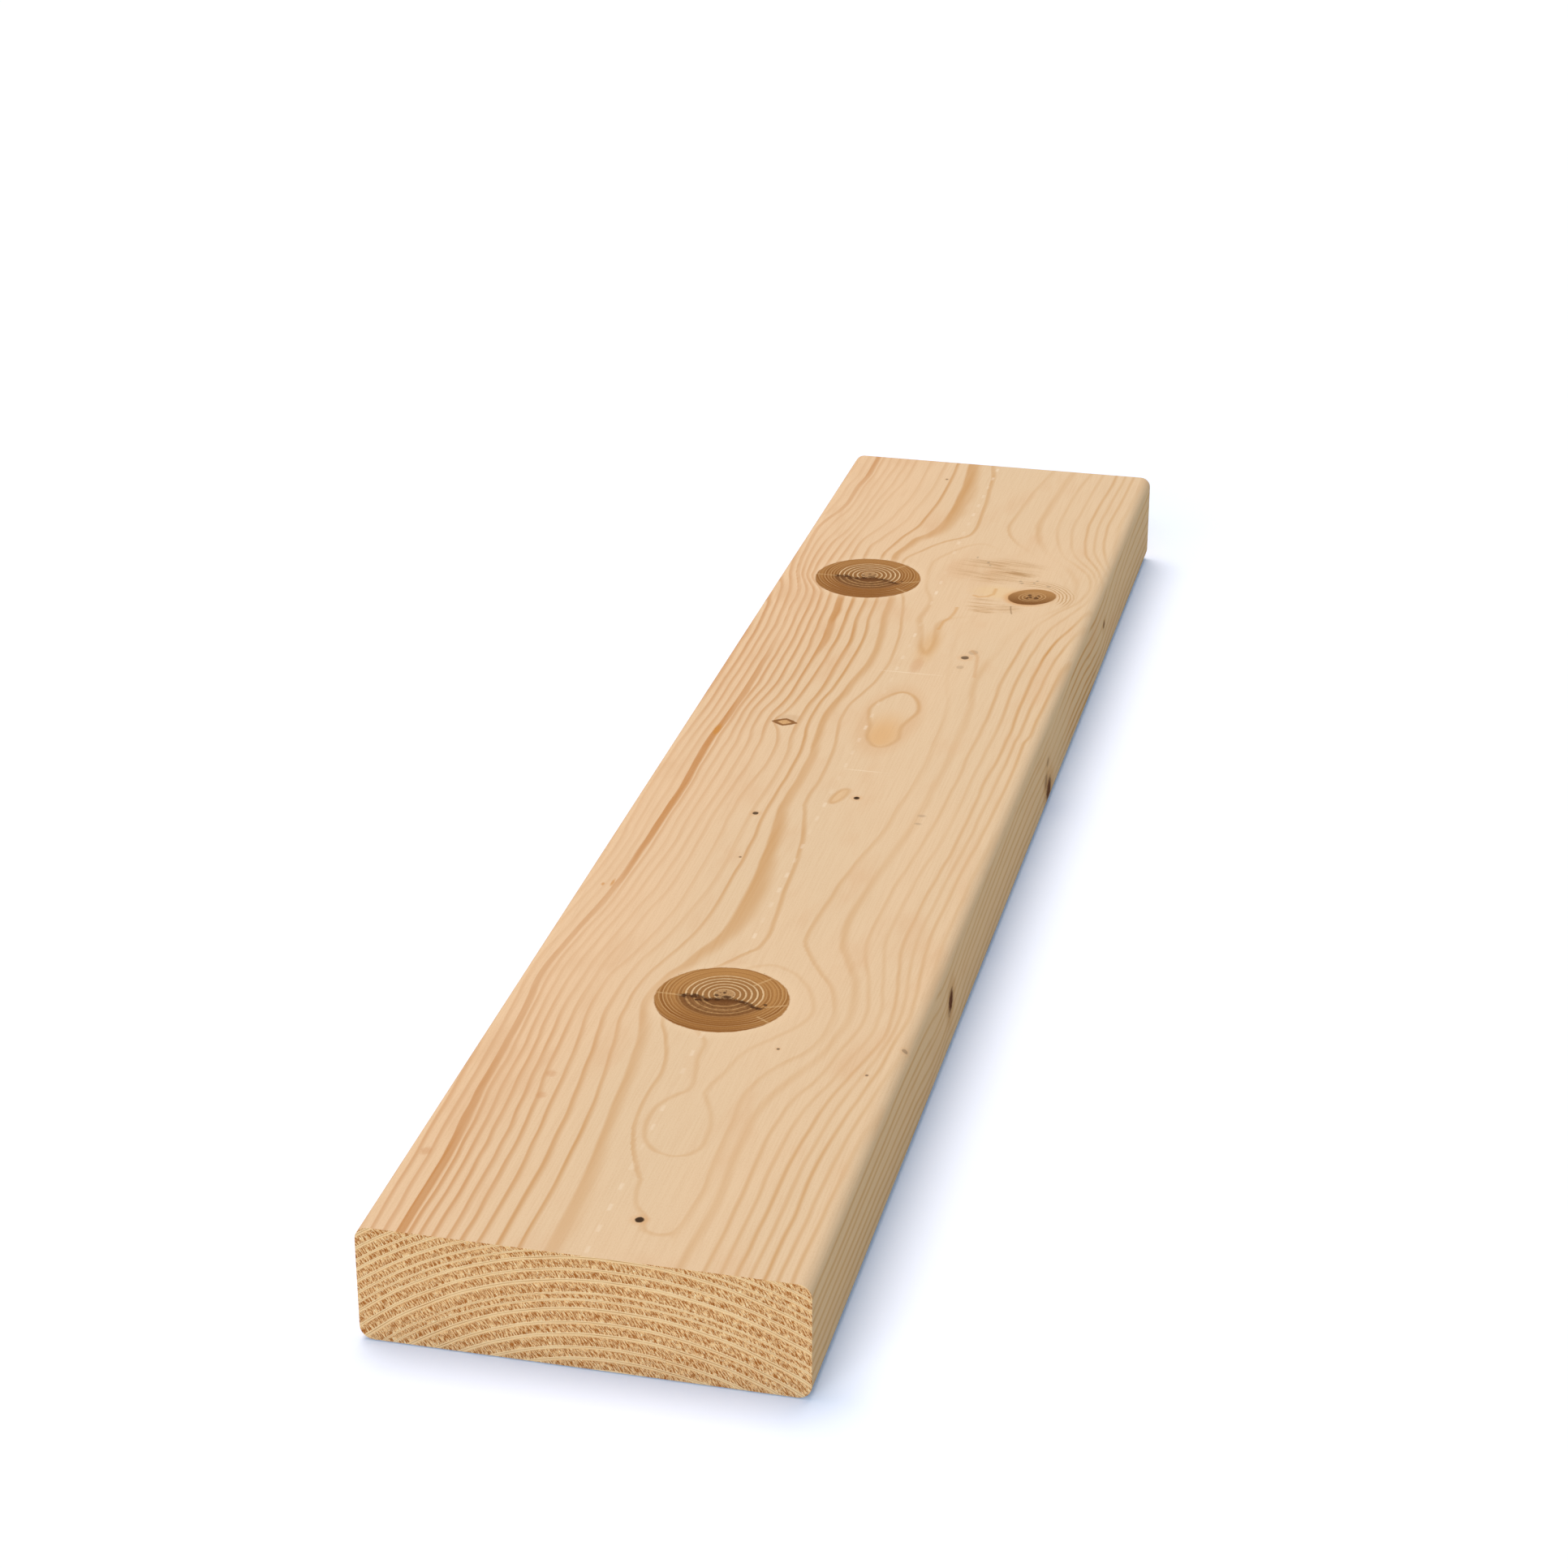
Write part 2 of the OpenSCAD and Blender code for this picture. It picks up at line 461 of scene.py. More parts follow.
vertices = [body]
faces = list(quads)
end_start = len(quads)
tear_depth = 0.35
tear_across = (0.85, 0.53)
for station, y, turn in ((0, -half_length, 1), (len(stations) - 1, half_length, -1)):
    first = sum(len(v) for v in vertices)
    part = end_rings(net[:, 0], net[:, 1]) % 1
    soft = np.clip((part - 0.1) / 0.1, 0, 1) * np.clip((0.82 - part) / 0.14, 0, 1)
    across_tear = net[:, 0] * tear_across[0] + net[:, 1] * tear_across[1]
    along_tear = net[:, 0] * tear_across[1] - net[:, 1] * tear_across[0]
    tear = soft * (0.3 + 0.7 * rough(across_tear * 0.9, along_tear * 0.35, 3 + station))
    sunk = y + turn * tear * tear_depth
    vertices.append(np.stack([net[:, 0], sunk, net[:, 1]], 1))
    number = [station * around + i for i in range(around)] + [first + i for i in range(len(net))]
    for f in end_faces:
        faces.append([number[v] for v in f][::turn])
points = np.vstack(vertices)
x, y, z = points.T

# Knots: two branches cut across. Each point of the mesh keeps its place on the nearer one, in knot
# radii from the centre, and its height above the crack across the knot. Below the crack the wood
# has sunk, which is real relief.
below = thickness - z
crack_run = [
    (-1.2, 0.0), (-0.58, 0.035), (-0.385, 0.045), (-0.22, -0.016), (0.0, 0.03), (0.13, 0.06),
    (0.28, 0.02), (0.43, -0.03), (0.6, -0.14), (0.72, -0.09), (1.2, 0.1),
]
heart_up = 0.16
knot_taper = 0.2
far_away = 1e9
closest = np.full(len(x), far_away)
on_knot = np.zeros((len(x), 4))
for knot_x, knot_y, radius in knots[:2]:
    size = radius * (1 - knot_taper * below / thickness)
    u = (x - knot_x) / size
    v = (y - knot_y + branch_slant * below) / size
    away = np.hypot(u, v)
    crack = v - np.interp(u, *np.array(crack_run).T)
    near = np.clip((1.6 - away) / 0.1, 0, 1)
    on_knot = np.where((away < closest)[:, None], np.stack([u, v, crack, near], 1), on_knot)
    closest = np.minimum(away, closest)
ledge_depth = 0.45
u, v, crack, near = on_knot.T
heart = np.hypot(u, v - heart_up)
sunk = near * np.clip((0.02 - crack) / 0.05, 0, 1) * np.clip((0.74 - heart) / 0.25, 0, 1)
up = np.where(z > thickness - 0.1, 1, 0)
points[:, 2] -= up * ledge_depth * sunk * (0.6 + 0.4 * rough(x * 0.8, y * 0.8, 11))

mesh = bpy.data.meshes.new("plank_wood")
mesh.from_pydata((points * mm).tolist(), [], faces)
mesh.validate()


def keep_on_points(name, values):
    """Stores a value, or a colour of four values, at every point of the mesh, for the materials."""
    kind = "FLOAT" if values.ndim == 1 else "FLOAT_COLOR"
    layer = mesh.attributes.new(name, kind, "POINT")
    layer.data.foreach_set("value" if values.ndim == 1 else "color", values.astype(np.float32).ravel())


# How dark each growth line is, and how far it fades toward and away from the middle in millimetres,
# by its count. Left lines fade toward the middle and right lines mostly away from it.
left_marks = {
    -9: (0.4, 2.4, 0.9), -1: (0.3, 1.6, 1.6), 0: (0.34, 1.9, 1.9), 1: (0.52, 0.95, 0.85),
    2: (0.8, 1.0, 1.4), 3: (0.85, 2.5, 0.8), 4: (0.76, 2.9, 0.8), 5: (0.78, 2.3, 0.7),
    6: (0.76, 2.6, 0.7), 7: (0.74, 2.4, 0.7), 8: (0.76, 2.4, 0.7), 9: (0.7, 2.2, 0.7),
    10: (0.64, 2.0, 0.7), 11: (1.0, 2.6, 0.6), 12: (0.55, 2.0, 0.7), 13: (0.55, 2.0, 0.7),
    14: (0.65, 2.4, 0.8), 16: (0.5, 2.2, 0.8),
}
right_marks = {
    -9: (0.4, 1.4, 1.8), -1: (0.3, 1.6, 1.6), 0: (0.34, 1.9, 1.9), 1: (0.3, 1.2, 2.5),
    2: (0.34, 3.0, 3.8), 3: (0.45, 1.3, 1.8), 4: (0.38, 1.5, 1.6), 5: (0.74, 1.5, 1.5),
    6: (0.45, 1.4, 1.4), 7: (0.7, 1.4, 1.6), 8: (0.5, 1.4, 1.5), 9: (0.5, 1.5, 1.5),
    11: (0.5, 1.6, 1.6),
}
outer_left_along = [
    (-400, 1.0), (-345, 0.95), (-300, 0.85), (-250, 0.7), (-200, 0.35), (-130, 0.3), (-60, 0.36),
    (0, 0.48), (40, 0.7), (80, 1.0), (150, 1.1), (190, 1.05), (230, 0.85), (265, 0.6), (300, 0.3),
    (350, 0.3), (400, 0.42),
]
widest_left_along = [
    (-400, 1.15), (-300, 1.0), (-255, 0.65), (-150, 0.55), (-110, 0.9), (-40, 1.05), (20, 1.3),
    (60, 1.05), (110, 0.8), (135, 0.4), (250, 0.4), (340, 0.55), (380, 0.85), (400, 0.9),
]
widest_left_fade = [
    (-400, 4.4), (-320, 4.4), (-270, 3.6), (-150, 3.0), (-90, 4.0), (0, 4.6), (60, 4.4), (115, 3.0),
    (150, 2.0), (280, 2.0), (380, 3.4), (400, 3.4),
]
second_left_fade = [
    (-400, 10), (-350, 7.5), (-310, 5.5), (-220, 5), (-170, 8), (-125, 10.5), (-85, 9), (-45, 6),
    (0, 5), (100, 4.3), (180, 4.3), (270, 5), (305, 9), (350, 10.5), (400, 9.5),
]
third_left_along = [
    (-400, 0.9), (-330, 0.85), (-290, 0.7), (-250, 0.55), (-200, 0.45), (-150, 0.6), (-60, 0.85),
    (0, 0.9), (400, 0.9),
]
second_left_along = [
    (-400, 0.52), (-330, 0.7), (-250, 0.75), (-180, 0.9), (-125, 1.15), (-70, 0.95), (0, 0.8),
    (180, 0.85), (280, 0.85), (330, 0.98), (400, 0.9),
]
right_along = [
    (-400, 1.0), (-340, 0.95), (-280, 0.75), (-150, 0.62), (-70, 0.65), (0, 0.75), (50, 1.0), (90, 1.3),
    (150, 1.3), (185, 0.9), (230, 0.6), (300, 0.62), (400, 0.7),
]
first_right_along = [
    (-400, 1.0), (-250, 0.9), (-190, 1.1), (-150, 1.6), (-60, 1.0), (0, 0.8), (60, 0.6), (90, 0.25),
    (190, 0.2), (280, 0.6), (310, 1.5), (350, 1.0), (400, 0.8),
]
core_along = [
    (-400, 1.0), (-55, 1.0), (-40, 1.6), (-12, 1.6), (0, 1.0), (25, 1.5), (100, 1.4), (135, 1.0),
    (180, 1.0), (215, 0.6), (400, 1.0),
]
count = ring_count(x, y, z)
crowd = np.maximum(0.01, np.hypot(ring_count(x + 0.5, y, z) - ring_count(x - 0.5, y, z),
                                  ring_count(x, y + 0.5, z) - ring_count(x, y - 0.5, z)))
on_left = np.clip((9 - x) / 8, 0, 1)


def near_line(number):
    """1 on a left line and just inside it, falling to 0 at the next line in and a little way out."""
    inward = np.clip(1.4 - np.abs(count - number + 0.3) / 0.75, 0, 1)
    outward = np.clip((number + 0.2 - count) / 0.15, 0, 1)
    return on_left * inward * outward


def window(place, centre, half, power):
    """1 within half of a centre and 0 beyond it; a higher power falls more sharply."""
    return np.exp(-(((place - centre) / half) ** power))


def change(share, run):
    """What a run of (along, factor) adds to a factor of 1, where share is 1."""
    return share * (smooth_run(run, y) - 1)


# Growth lines on the right side, as runs of (along, height), counted up from the underside. They dip
# below the branches that meet the side.
side_lines = {
    1: [
        (-400, 14.6), (-300, 13.2), (-230, 10.4), (-200, 8.6), (-180, 8), (-165, 9.4), (-145, 8),
        (-120, 11), (-60, 13.4), (0, 14.6), (60, 13.6), (150, 12.6), (180, 11.5), (220, 9), (235, 8.6),
        (260, 10.5), (290, 13), (320, 15), (400, 15.5),
    ],
    2: [
        (-400, 19.2), (-340, 18.5), (-300, 17.8), (-260, 16.5), (-230, 15), (-210, 13), (-190, 11.3),
        (-175, 11.5), (-160, 13), (-145, 13), (-120, 16.4), (-60, 19.4), (0, 21), (30, 21), (60, 20),
        (80, 18), (120, 17.6), (150, 17.2), (180, 16.4), (200, 14.4), (220, 13), (235, 12.6), (260, 15),
        (290, 18.5), (320, 21.5), (400, 22.5),
    ],
    3: [
        (-400, 24.2), (-340, 23.2), (-300, 22.6), (-260, 21.5), (-230, 20.3), (-205, 17.5),
        (-190, 15.6), (-175, 14.8), (-160, 16), (-140, 20), (-120, 22.6), (-60, 25.4), (0, 27),
        (20, 27), (40, 26.2), (75, 24.4), (120, 24.6), (150, 25.1), (170, 24.5), (190, 22.4), (205, 20),
        (220, 18.5), (235, 18), (250, 19.5), (270, 22.7), (290, 26), (310, 28.6), (340, 30.2),
        (400, 30.5),
    ],
    4: [
        (-400, 30), (-340, 29), (-300, 28.8), (-260, 28.2), (-230, 27), (-210, 25.5), (-190, 23.4),
        (-175, 22.6), (-160, 23.4), (-140, 25), (-120, 27.2), (-60, 31), (0, 33.4), (40, 33),
        (60, 31.5), (80, 31), (130, 31.5), (160, 31.4), (180, 30), (200, 27), (215, 25.6), (230, 25),
        (250, 26.5), (270, 29.4), (290, 32), (310, 34.2), (330, 36.4), (350, 37.4), (400, 37.6),
    ],
    5: [
        (-400, 34), (-300, 32.6), (-260, 32.4), (-230, 31.4), (-210, 29.4), (-190, 26.4), (-175, 26),
        (-160, 28), (-130, 31), (-100, 33), (-60, 35), (0, 37.3), (30, 36.6), (60, 35), (75, 35),
        (110, 37.4), (140, 38.2), (160, 38), (180, 36.6), (200, 34.4), (220, 33), (235, 33.4),
        (250, 35), (265, 37.5), (290, 40), (400, 44),
    ],
    6: [
        (-400, 40), (-300, 39.4), (-250, 38.8), (-215, 37.5), (-195, 35), (-175, 32.4), (-160, 33.4),
        (-140, 35.6), (-120, 37.5), (-90, 39.4), (0, 43), (60, 41), (110, 43.5), (160, 44), (185, 42.4),
        (215, 38.6), (235, 39.4), (260, 43), (400, 50),
    ],
}
side_along = [
    (-400, 0.62), (-230, 0.62), (-150, 0.45), (-60, 0.5), (0, 0.62), (60, 0.55), (90, 0.3), (125, 0.55),
    (150, 1.1), (205, 1.05), (230, 0.65), (300, 0.55), (400, 0.6),
]


def side_count(y, z):
    """Growth rings at each point of the right side, between the lines above and below it."""
    z = z + (rough(y / 14, z / 5, 23) - 0.5) * 0.7
    order = sorted(side_lines)
    heights = [smooth_run(side_lines[n], y) for n in order]
    count = order[0] + (z - heights[0]) / ring_depth
    for lower, upper, n in zip(heights, heights[1:], order):
        count = np.where(z > lower, n + (z - lower) / (upper - lower), count)
    return count


looks = []
for item in (0, 1, 2):
    left = np.interp(count, list(left_marks), [m[item] for m in left_marks.values()])
    right = np.interp(count, list(right_marks), [m[item] for m in right_marks.values()])
    looks.append(left * on_left + right * (1 - on_left))
dark, fade_in, fade_out = looks
second = near_line(2)
third = near_line(3)
sixth = near_line(6)
widest = near_line(11)
outer = on_left * np.clip((count - 3.0) / 0.2, 0, 1) * (1 - widest)
dark *= 1 + change(outer, outer_left_along) + change(widest, widest_left_along)
dark *= 1 + change(third, third_left_along)
dark *= 1 + change(second, second_left_along) + change(1 - on_left, right_along)
first_right = (1 - on_left) * np.clip(1.4 - np.abs(count - 1.3) / 0.75, 0, 1)
core = np.clip(1.4 - np.abs(count) / 0.4, 0, 1)
dark *= 1 + first_right * (smooth_run(first_right_along, y) / smooth_run(right_along, y) - 1)
dark *= 1 + change(core, core_along)
second_fade = second * (smooth_run(second_left_fade, y) - fade_in)
widest_fade = widest * (smooth_run(widest_left_fade, y) - fade_in)
fade_in += second_fade + widest_fade
fade_out -= widest * 0.2
thick = sixth * window(y, 172, 46, 6)
fade_in += thick * 2.0
edge = 1 - 0.2 * second * np.clip((y + 230) / 40, 0, 1) - 0.6 * widest - 0.55 * thick
arms = core * window(y, 165, 38, 6)
fade_in += arms * 1.0
fade_out += arms * 1.0
on_side = np.clip((np.abs(x) - half_width + 1) / 0.5, 0, 1) * np.clip((thickness - 3 - z) / 2, 0, 1)
dark *= (1 + 0.35 * on_side) * (1 - 0.6 * (1 - on_side) * np.clip((x - 73) / 4, 0, 1))
fade_in += on_side * (2.2 - fade_in)
by_small_knot = window(x, 36, 24, 8) * window(y, 230, 56, 8)
before_small_knot = window(x, 42, 8, 4) * window(y, 160, 28, 4)
dark *= (1 - 0.95 * by_small_knot) * (1 - 0.7 * before_small_knot)
side_low = 3
side_high = 42
right_side = (x > flat) & (z > side_low) & (z < side_high)
at_edge = (x > flat) & ((np.abs(z - side_low) < 1) | (np.abs(z - side_high) < 1))
count = np.where(right_side, side_count(y, z), count)
side_crowd = np.abs(side_count(y, z + 0.5) - side_count(y, z - 0.5))
crowd = np.where(right_side, np.maximum(side_crowd, 0.05), crowd)
dark = np.where(right_side, smooth_run(side_along, y), dark) * np.where(at_edge, 0, 1)
side_fade_in = 2.0
side_fade_out = 1.4
fade_in = np.where(right_side, side_fade_in, fade_in)
fade_out = np.where(right_side, side_fade_out, fade_out)
edge = np.where(right_side, 1, edge)
keep_on_points("rings", count)
keep_on_points("line", np.stack([dark, fade_in, fade_out, crowd], 1))
keep_on_points("edge", edge)
keep_on_points("knot", on_knot)
keep_on_points("end rings", end_rings(x, z))

plank = bpy.data.objects.new("plank_wood", mesh)
scene.collection.objects.link(plank)


class Field:
    """A number worked out at every point of a surface. Arithmetic on it adds nodes to the material."""

    def __init__(self, tree, socket):
        self.tree = tree
        self.socket = socket

    def calc(self, operation, *others):
        """The field that an operation makes of this one and others."""
        values = [v.socket if isinstance(v, Field) else v for v in (self, *others)]
        made = shader_node(self.tree, "ShaderNodeMath", dict(enumerate(values)), operation=operation)
        return Field(self.tree, made.outputs[0])

    def __add__(self, other):
        return self.calc("ADD", other)

    def __sub__(self, other):
        return self.calc("SUBTRACT", other)

    def __mul__(self, other):
        return self.calc("MULTIPLY", other)

    def __truediv__(self, other):
        return self.calc("DIVIDE", other)

    def __pow__(self, other):
        return self.calc("POWER", other)

    def turned(self):
        """One minus the field."""
        return self.calc("MULTIPLY_ADD", -1.0, 1.0)

    def rise(self, start, end):
        """A soft step from 0 at start to 1 at end; it falls where end is less than start."""
        made = shader_node(self.tree, "ShaderNodeMapRange", {0: self.socket, 1: start, 2: end},
                           interpolation_type="SMOOTHSTEP")
        return Field(self.tree, made.outputs[0])

    def within(self):
        """The field, held between 0 and 1."""
        return self.calc("MAXIMUM", 0.0).calc("MINIMUM", 1.0)

    def waves(self, first, pitch):
        """Evenly repeated crests, 1 at the first and at each pitch after it, -1 half way between."""
        return ((self - first) * (2 * math.pi / pitch)).calc("COSINE")


def blend(tree, share, first, second):
    """A colour between two others; share is a field."""
    made = shader_node(tree, "ShaderNodeMix", {0: share.socket, 6: first, 7: second}, data_type="RGBA")
    return made.outputs[2]


def vectors(tree, operation, *inputs):
    """The outputs of an operation on vectors."""
    return shader_node(tree, "ShaderNodeVectorMath", dict(enumerate(inputs)), operation=operation).outputs


def noise(tree, place, stretch, detail=2.0, roughness=0.5):
    """Random cloud around zero; stretch is its waves per millimetre along each axis."""
    scaled = vectors(tree, "MULTIPLY", place, stretch)[0]
    settings = {"Vector": scaled, "Scale": 1.0, "Detail": detail, "Roughness": roughness}
    made = shader_node(tree, "ShaderNodeTexNoise", settings)
    return Field(tree, made.outputs["Fac"]) - 0.5


def joined(tree, *fields):
    """A vector made from up to three fields."""
    parts = {i: f.socket for i, f in enumerate(fields)}
    return shader_node(tree, "ShaderNodeCombineXYZ", parts).outputs[0]


def length(first, second):
    """The length of a vector with two parts."""
    return (first * first + second * second).calc("SQRT")


def stored(tree, name):
    """The four fields that keep_on_points left on the mesh under a name."""
    read = shader_node(tree, "ShaderNodeAttribute", attribute_name=name)
    split = shader_node(tree, "ShaderNodeSeparateColor", {0: read.outputs["Color"]})
    return [Field(tree, o) for o in (*split.outputs, read.outputs["Alpha"])]


def stored_value(tree, name):
    """The single field that keep_on_points left on the mesh under a name."""
    read = shader_node(tree, "ShaderNodeAttribute", attribute_name=name)
    return Field(tree, read.outputs["Fac"])


def place_in_mm(tree):
    """Places on the plank in millimetres, as a vector and as three fields."""
    raw = shader_node(tree, "ShaderNodeTexCoord").outputs["Object"]
    per_metre = 1 / mm
    scaled = vectors(tree, "MULTIPLY", raw, (per_metre, per_metre, per_metre))[0]
    split = shader_node(tree, "ShaderNodeSeparateXYZ", {0: scaled})
    return scaled, [Field(tree, o) for o in split.outputs]


def from_oval(tree, place, centre, size):
    """Distance from a centre, in the oval's own half sizes: 1 is its edge."""
    offset = vectors(tree, "SUBTRACT", place, centre)[0]
    scaled = vectors(tree, "DIVIDE", offset, size)[0]
    return Field(tree, vectors(tree, "LENGTH", scaled)["Value"])


def srgb(red, green, blue):
    """A colour as it is seen, 0 to 255, in the linear values that a shader takes."""
    seen = np.array([red, green, blue]) / 255
    return (*np.where(seen < 0.04045, seen / 12.92, ((seen + 0.055) / 1.055) ** 2.4).tolist(), 1)


# The planed faces: pale early wood and darker late wood in each ring, sharp on the outer side and
# fading inward, crossed by long fine fibres.
planed, tree, shader = surface("planed softwood")
place, (px, py, pz) = place_in_mm(tree)
rings = stored_value(tree, "rings")
dark, fade_in, fade_out, crowd = stored(tree, "line")
fibre = noise(tree, place, (1.4, 0.03, 1.4), 4.0, 0.6)
streak = noise(tree, place, (0.35, 0.006, 0.35), 3.0)
cloud = noise(tree, place, (0.018, 0.006, 0.018), 2.0)
fuzz = noise(tree, place, (2.2, 0.9, 2.2), 2.0)
ragged = noise(tree, place, (0.8, 0.8, 0.8), 3.0)
lumpy = noise(tree, place, (0.25, 0.25, 0.25), 2.0)
part = (rings + fibre * crowd * 0.4).calc("FRACT")
edge = stored_value(tree, "edge")
inward = ((part.turned() / crowd / fade_in).turned() / edge).rise(0.0, 1.0)
outward = (part / crowd / fade_out).rise(1.0, 0.0)
late = (inward.calc("MAXIMUM", outward) * dark * (streak * 1.0 + 1.0)).within()
warm = px.rise(0.0, -75.0)
early_pale = srgb(215, 188, 153)
early_warm = srgb(222, 189, 152)
early = blend(tree, (warm * 0.8 + cloud * 1.2 + 0.1).within(), early_pale, early_warm)
low_core = from_oval(tree, place, (10.0, 40.0, thickness), (13.0, 30.0, 20.0)).rise(1.2, 0.1)
early = blend(tree, low_core * rings.rise(0.03, -0.04) * 0.9, early, srgb(212, 169, 118))
core_halo = from_oval(tree, place, (10.0, 58.0, thickness), (15.0, 42.0, 20.0)).rise(1.15, 0.7)
early = blend(tree, core_halo * rings.rise(-0.02, 0.03) * 0.42, early, srgb(206, 164, 120))
on_islet = from_oval(tree, place, (*islet_place, thickness), (7.0, 15.0, 20.0)).rise(1.1, 0.5)
early = blend(tree, on_islet * rings.rise(0.05, -0.1) * 0.5, early, srgb(213, 173, 124))
tip = from_oval(tree, place, (10.5, 146.0, thickness), (7.0, 30.0, 20.0)).rise(1.1, 0.1)
early = blend(tree, tip * 0.6, early, srgb(209, 167, 116))
late_golden = srgb(190, 142, 85)
late_warm = srgb(190, 136, 85)
late_wood = blend(tree, warm, late_golden, late_warm)
colour = blend(tree, late, early, late_wood)
mottle = noise(tree, place, (0.05, 0.018, 0.05), 3.0)
colour = blend(tree, mottle.rise(0.02, 0.25) * 0.4, colour, srgb(208, 168, 128))
colour = blend(tree, (fibre * 0.8 + fuzz * 0.6 + 0.08).within(), colour, srgb(196, 158, 118))
height = fibre * 0.03 + fuzz * 0.012 + late * 0.02

# Two small marks on the top: the row of pale dents that the planer's feed roller left along the
# middle, and a resin pocket, a flat hollow between two rings with a brown rim.
dent_pitch = 13.85
first_dent = -8.0
row_across = 1.5
in_row = (px - row_across + py.rise(180.0, 300.0) * 2.7).calc("ABSOLUTE").rise(1.1, 0.3)
dent = py.waves(first_dent, dent_pitch).rise(0.3, 0.8) * in_row * pz.rise(44.0, 44.9)
pressed = (noise(tree, place, (0.02, 0.03, 0.02)) * 2.0 + fuzz * 1.2 + 0.3).within()
colour = blend(tree, dent * pressed * 0.48, colour, srgb(244, 230, 208))
pocket_place = (-35.2, 45.0)
pocket_half = (5.9, 4.2)
pocket_x = (px - pocket_place[0]).calc("ABSOLUTE") / pocket_half[0]
pocket_y = (py - pocket_place[1]).calc("ABSOLUTE") / pocket_half[1]
pocket = pocket_x ** 1.15 + pocket_y ** 1.3 + ragged * 0.25
on_top = pz.rise(40.0, 42.0)
shade = from_oval(tree, place, (-34.0, 50.0, thickness), (7.0, 5.0, 9.0)).rise(1.0, 0.4)
colour = blend(tree, shade * 0.35, colour, srgb(186, 148, 108))
colour = blend(tree, pocket.rise(1.1, 0.9) * on_top, colour, srgb(138, 96, 58))
colour = blend(tree, pocket.rise(0.58, 0.36) * on_top * (fuzz * 1.5 + 0.8), colour, srgb(212, 168, 116))

# Pin knots: the stubs of twigs, dark and a few millimetres wide. The list holds the place across
# and along the top, the half width and how dark each is.
pin_knots = [
    (13.5, -373.6, 1.5, 0.95), (13.4, -26, 1.2, 0.95), (-25.1, -50.6, 1.2, 0.85),
    (29.8, 136.5, 1.7, 0.75), (29.7, 124.8, 1.6, 0.2), (32.5, 143.5, 2.2, 0.2), (31.8, -247, 0.6, 0.7),
    (68, -258.7, 0.6, 0.6), (-21.2, -93, 0.6, 0.6), (-24.7, 373.4, 0.7, 0.6), (77.7, -236.5, 1.1, 0.4),
]
for pin_x, pin_y, half, dark in pin_knots:
    pin = from_oval(tree, place, (pin_x, pin_y, thickness), (half, half * 1.1, 3.0)) + ragged * 0.35
    colour = blend(tree, pin.rise(3.0, 1.0) * (0.35 * dark), colour, srgb(206, 152, 98))
    colour = blend(tree, pin.rise(1.3, 0.85) * dark, colour, srgb(40, 22, 8))

# The large knots: brown branch wood with pale rings about a heart above the centre, a dark torn half
# below a jagged crack, and pale splits that run out to the rim. The pale rings are partly painted
# highlight on their raised sides, the strip just under the crack is painted shadow, and the pits and
# the open crack are painted shade.
u, v, crack, near = stored(tree, "knot")
knot_radius = knots[0][2]
away = length(u, v) + lumpy * 0.03 + ragged * 0.02
on_face = away.rise(1.012, 0.985) * near.rise(0.4, 0.6)
heart = length(u, v - heart_up) * knot_radius + ragged * 0.3 + lumpy * 0.5
year = noise(tree, joined(tree, heart, py * 0.02), (0.9, 1.0, 1.0), 3.0)
torn_edge = crack + ragged * 0.10 + fuzz * 0.05
lower = torn_edge.rise(0.025, -0.02) * heart.rise(19.5, 16.0)
older = py.rise(-50.0, 50.0)
branch_light = srgb(174, 127, 74)
branch_dark = srgb(132, 86, 42)
branch_share = (year * 1.8 + fuzz * 0.7 + v * -0.35 + older * 0.28 + 0.44).within()
branch = blend(tree, branch_share, branch_light, branch_dark)
outside = heart.rise(15.2, 16.6)
aside = u.calc("ABSOLUTE").rise(0.3, 0.75)
fine_year = heart.waves(16.2, 1.5)
pale_year = fine_year.rise(0.1, 1.0) * outside * (aside * 0.28 + year * 1.6 + 0.04).within()
branch = blend(tree, pale_year, branch, srgb(208, 166, 114))
dark_share = (v.rise(-0.1, -0.8) * 0.5 + year * 1.8 + 0.08).within()
dark_year = fine_year.rise(-0.1, -1.0) * outside * dark_share
branch = blend(tree, dark_year, branch, srgb(130, 80, 34))
# Pale rings on raised early wood: partly the wood's own paler colour and partly painted highlight where
# the ridges face the light.
pale = heart.waves(14.9, 2.2).rise(0.15, 1.0) * heart.rise(3.0, 4.2) * heart.rise(16.2, 14.6)
branch = blend(tree, heart.rise(16.0, 13.0) * 0.6, branch, srgb(136, 96, 56))
branch = blend(tree, pale * (ragged * 0.9 + aside * 0.3 + 0.65), branch, srgb(226, 194, 150))
branch = blend(tree, heart.rise(4.6, 3.4) * 0.6, branch, srgb(188, 150, 106))
branch = blend(tree, heart.rise(5.2, 3.8) * ragged.rise(0.05, 0.13) * 0.8, branch, srgb(84, 54, 32))
sunken_dark = srgb(98, 63, 33)
sunken_light = srgb(150, 106, 63)
sunken = blend(tree, (fuzz * 0.9 + ragged * 0.9 + year + 0.45).within(), sunken_dark, sunken_light)
sunken = blend(tree, older * 0.3, sunken, srgb(92, 60, 34))
low_year = heart.waves(8.9, 3.0).rise(0.25, 1.0) * (ragged * 1.2 + 0.6).within()
sunken = blend(tree, heart.rise(8.6, 7.0) * 0.6, sunken, srgb(104, 64, 32))
sunken = blend(tree, low_year * heart.rise(7.5, 8.5), sunken, srgb(186, 144, 94))
sunken = blend(tree, (heart - 17.0).calc("ABSOLUTE").rise(2.4, 0.3) * 0.5, sunken, srgb(112, 70, 34))
# Painted shadow: a darker strip just under the crack, where its raised edge shades the sunk wood.
sunken = blend(tree, crack.rise(-0.13, -0.01) * 0.6, sunken, srgb(84, 50, 24))
branch = blend(tree, lower, branch, sunken)
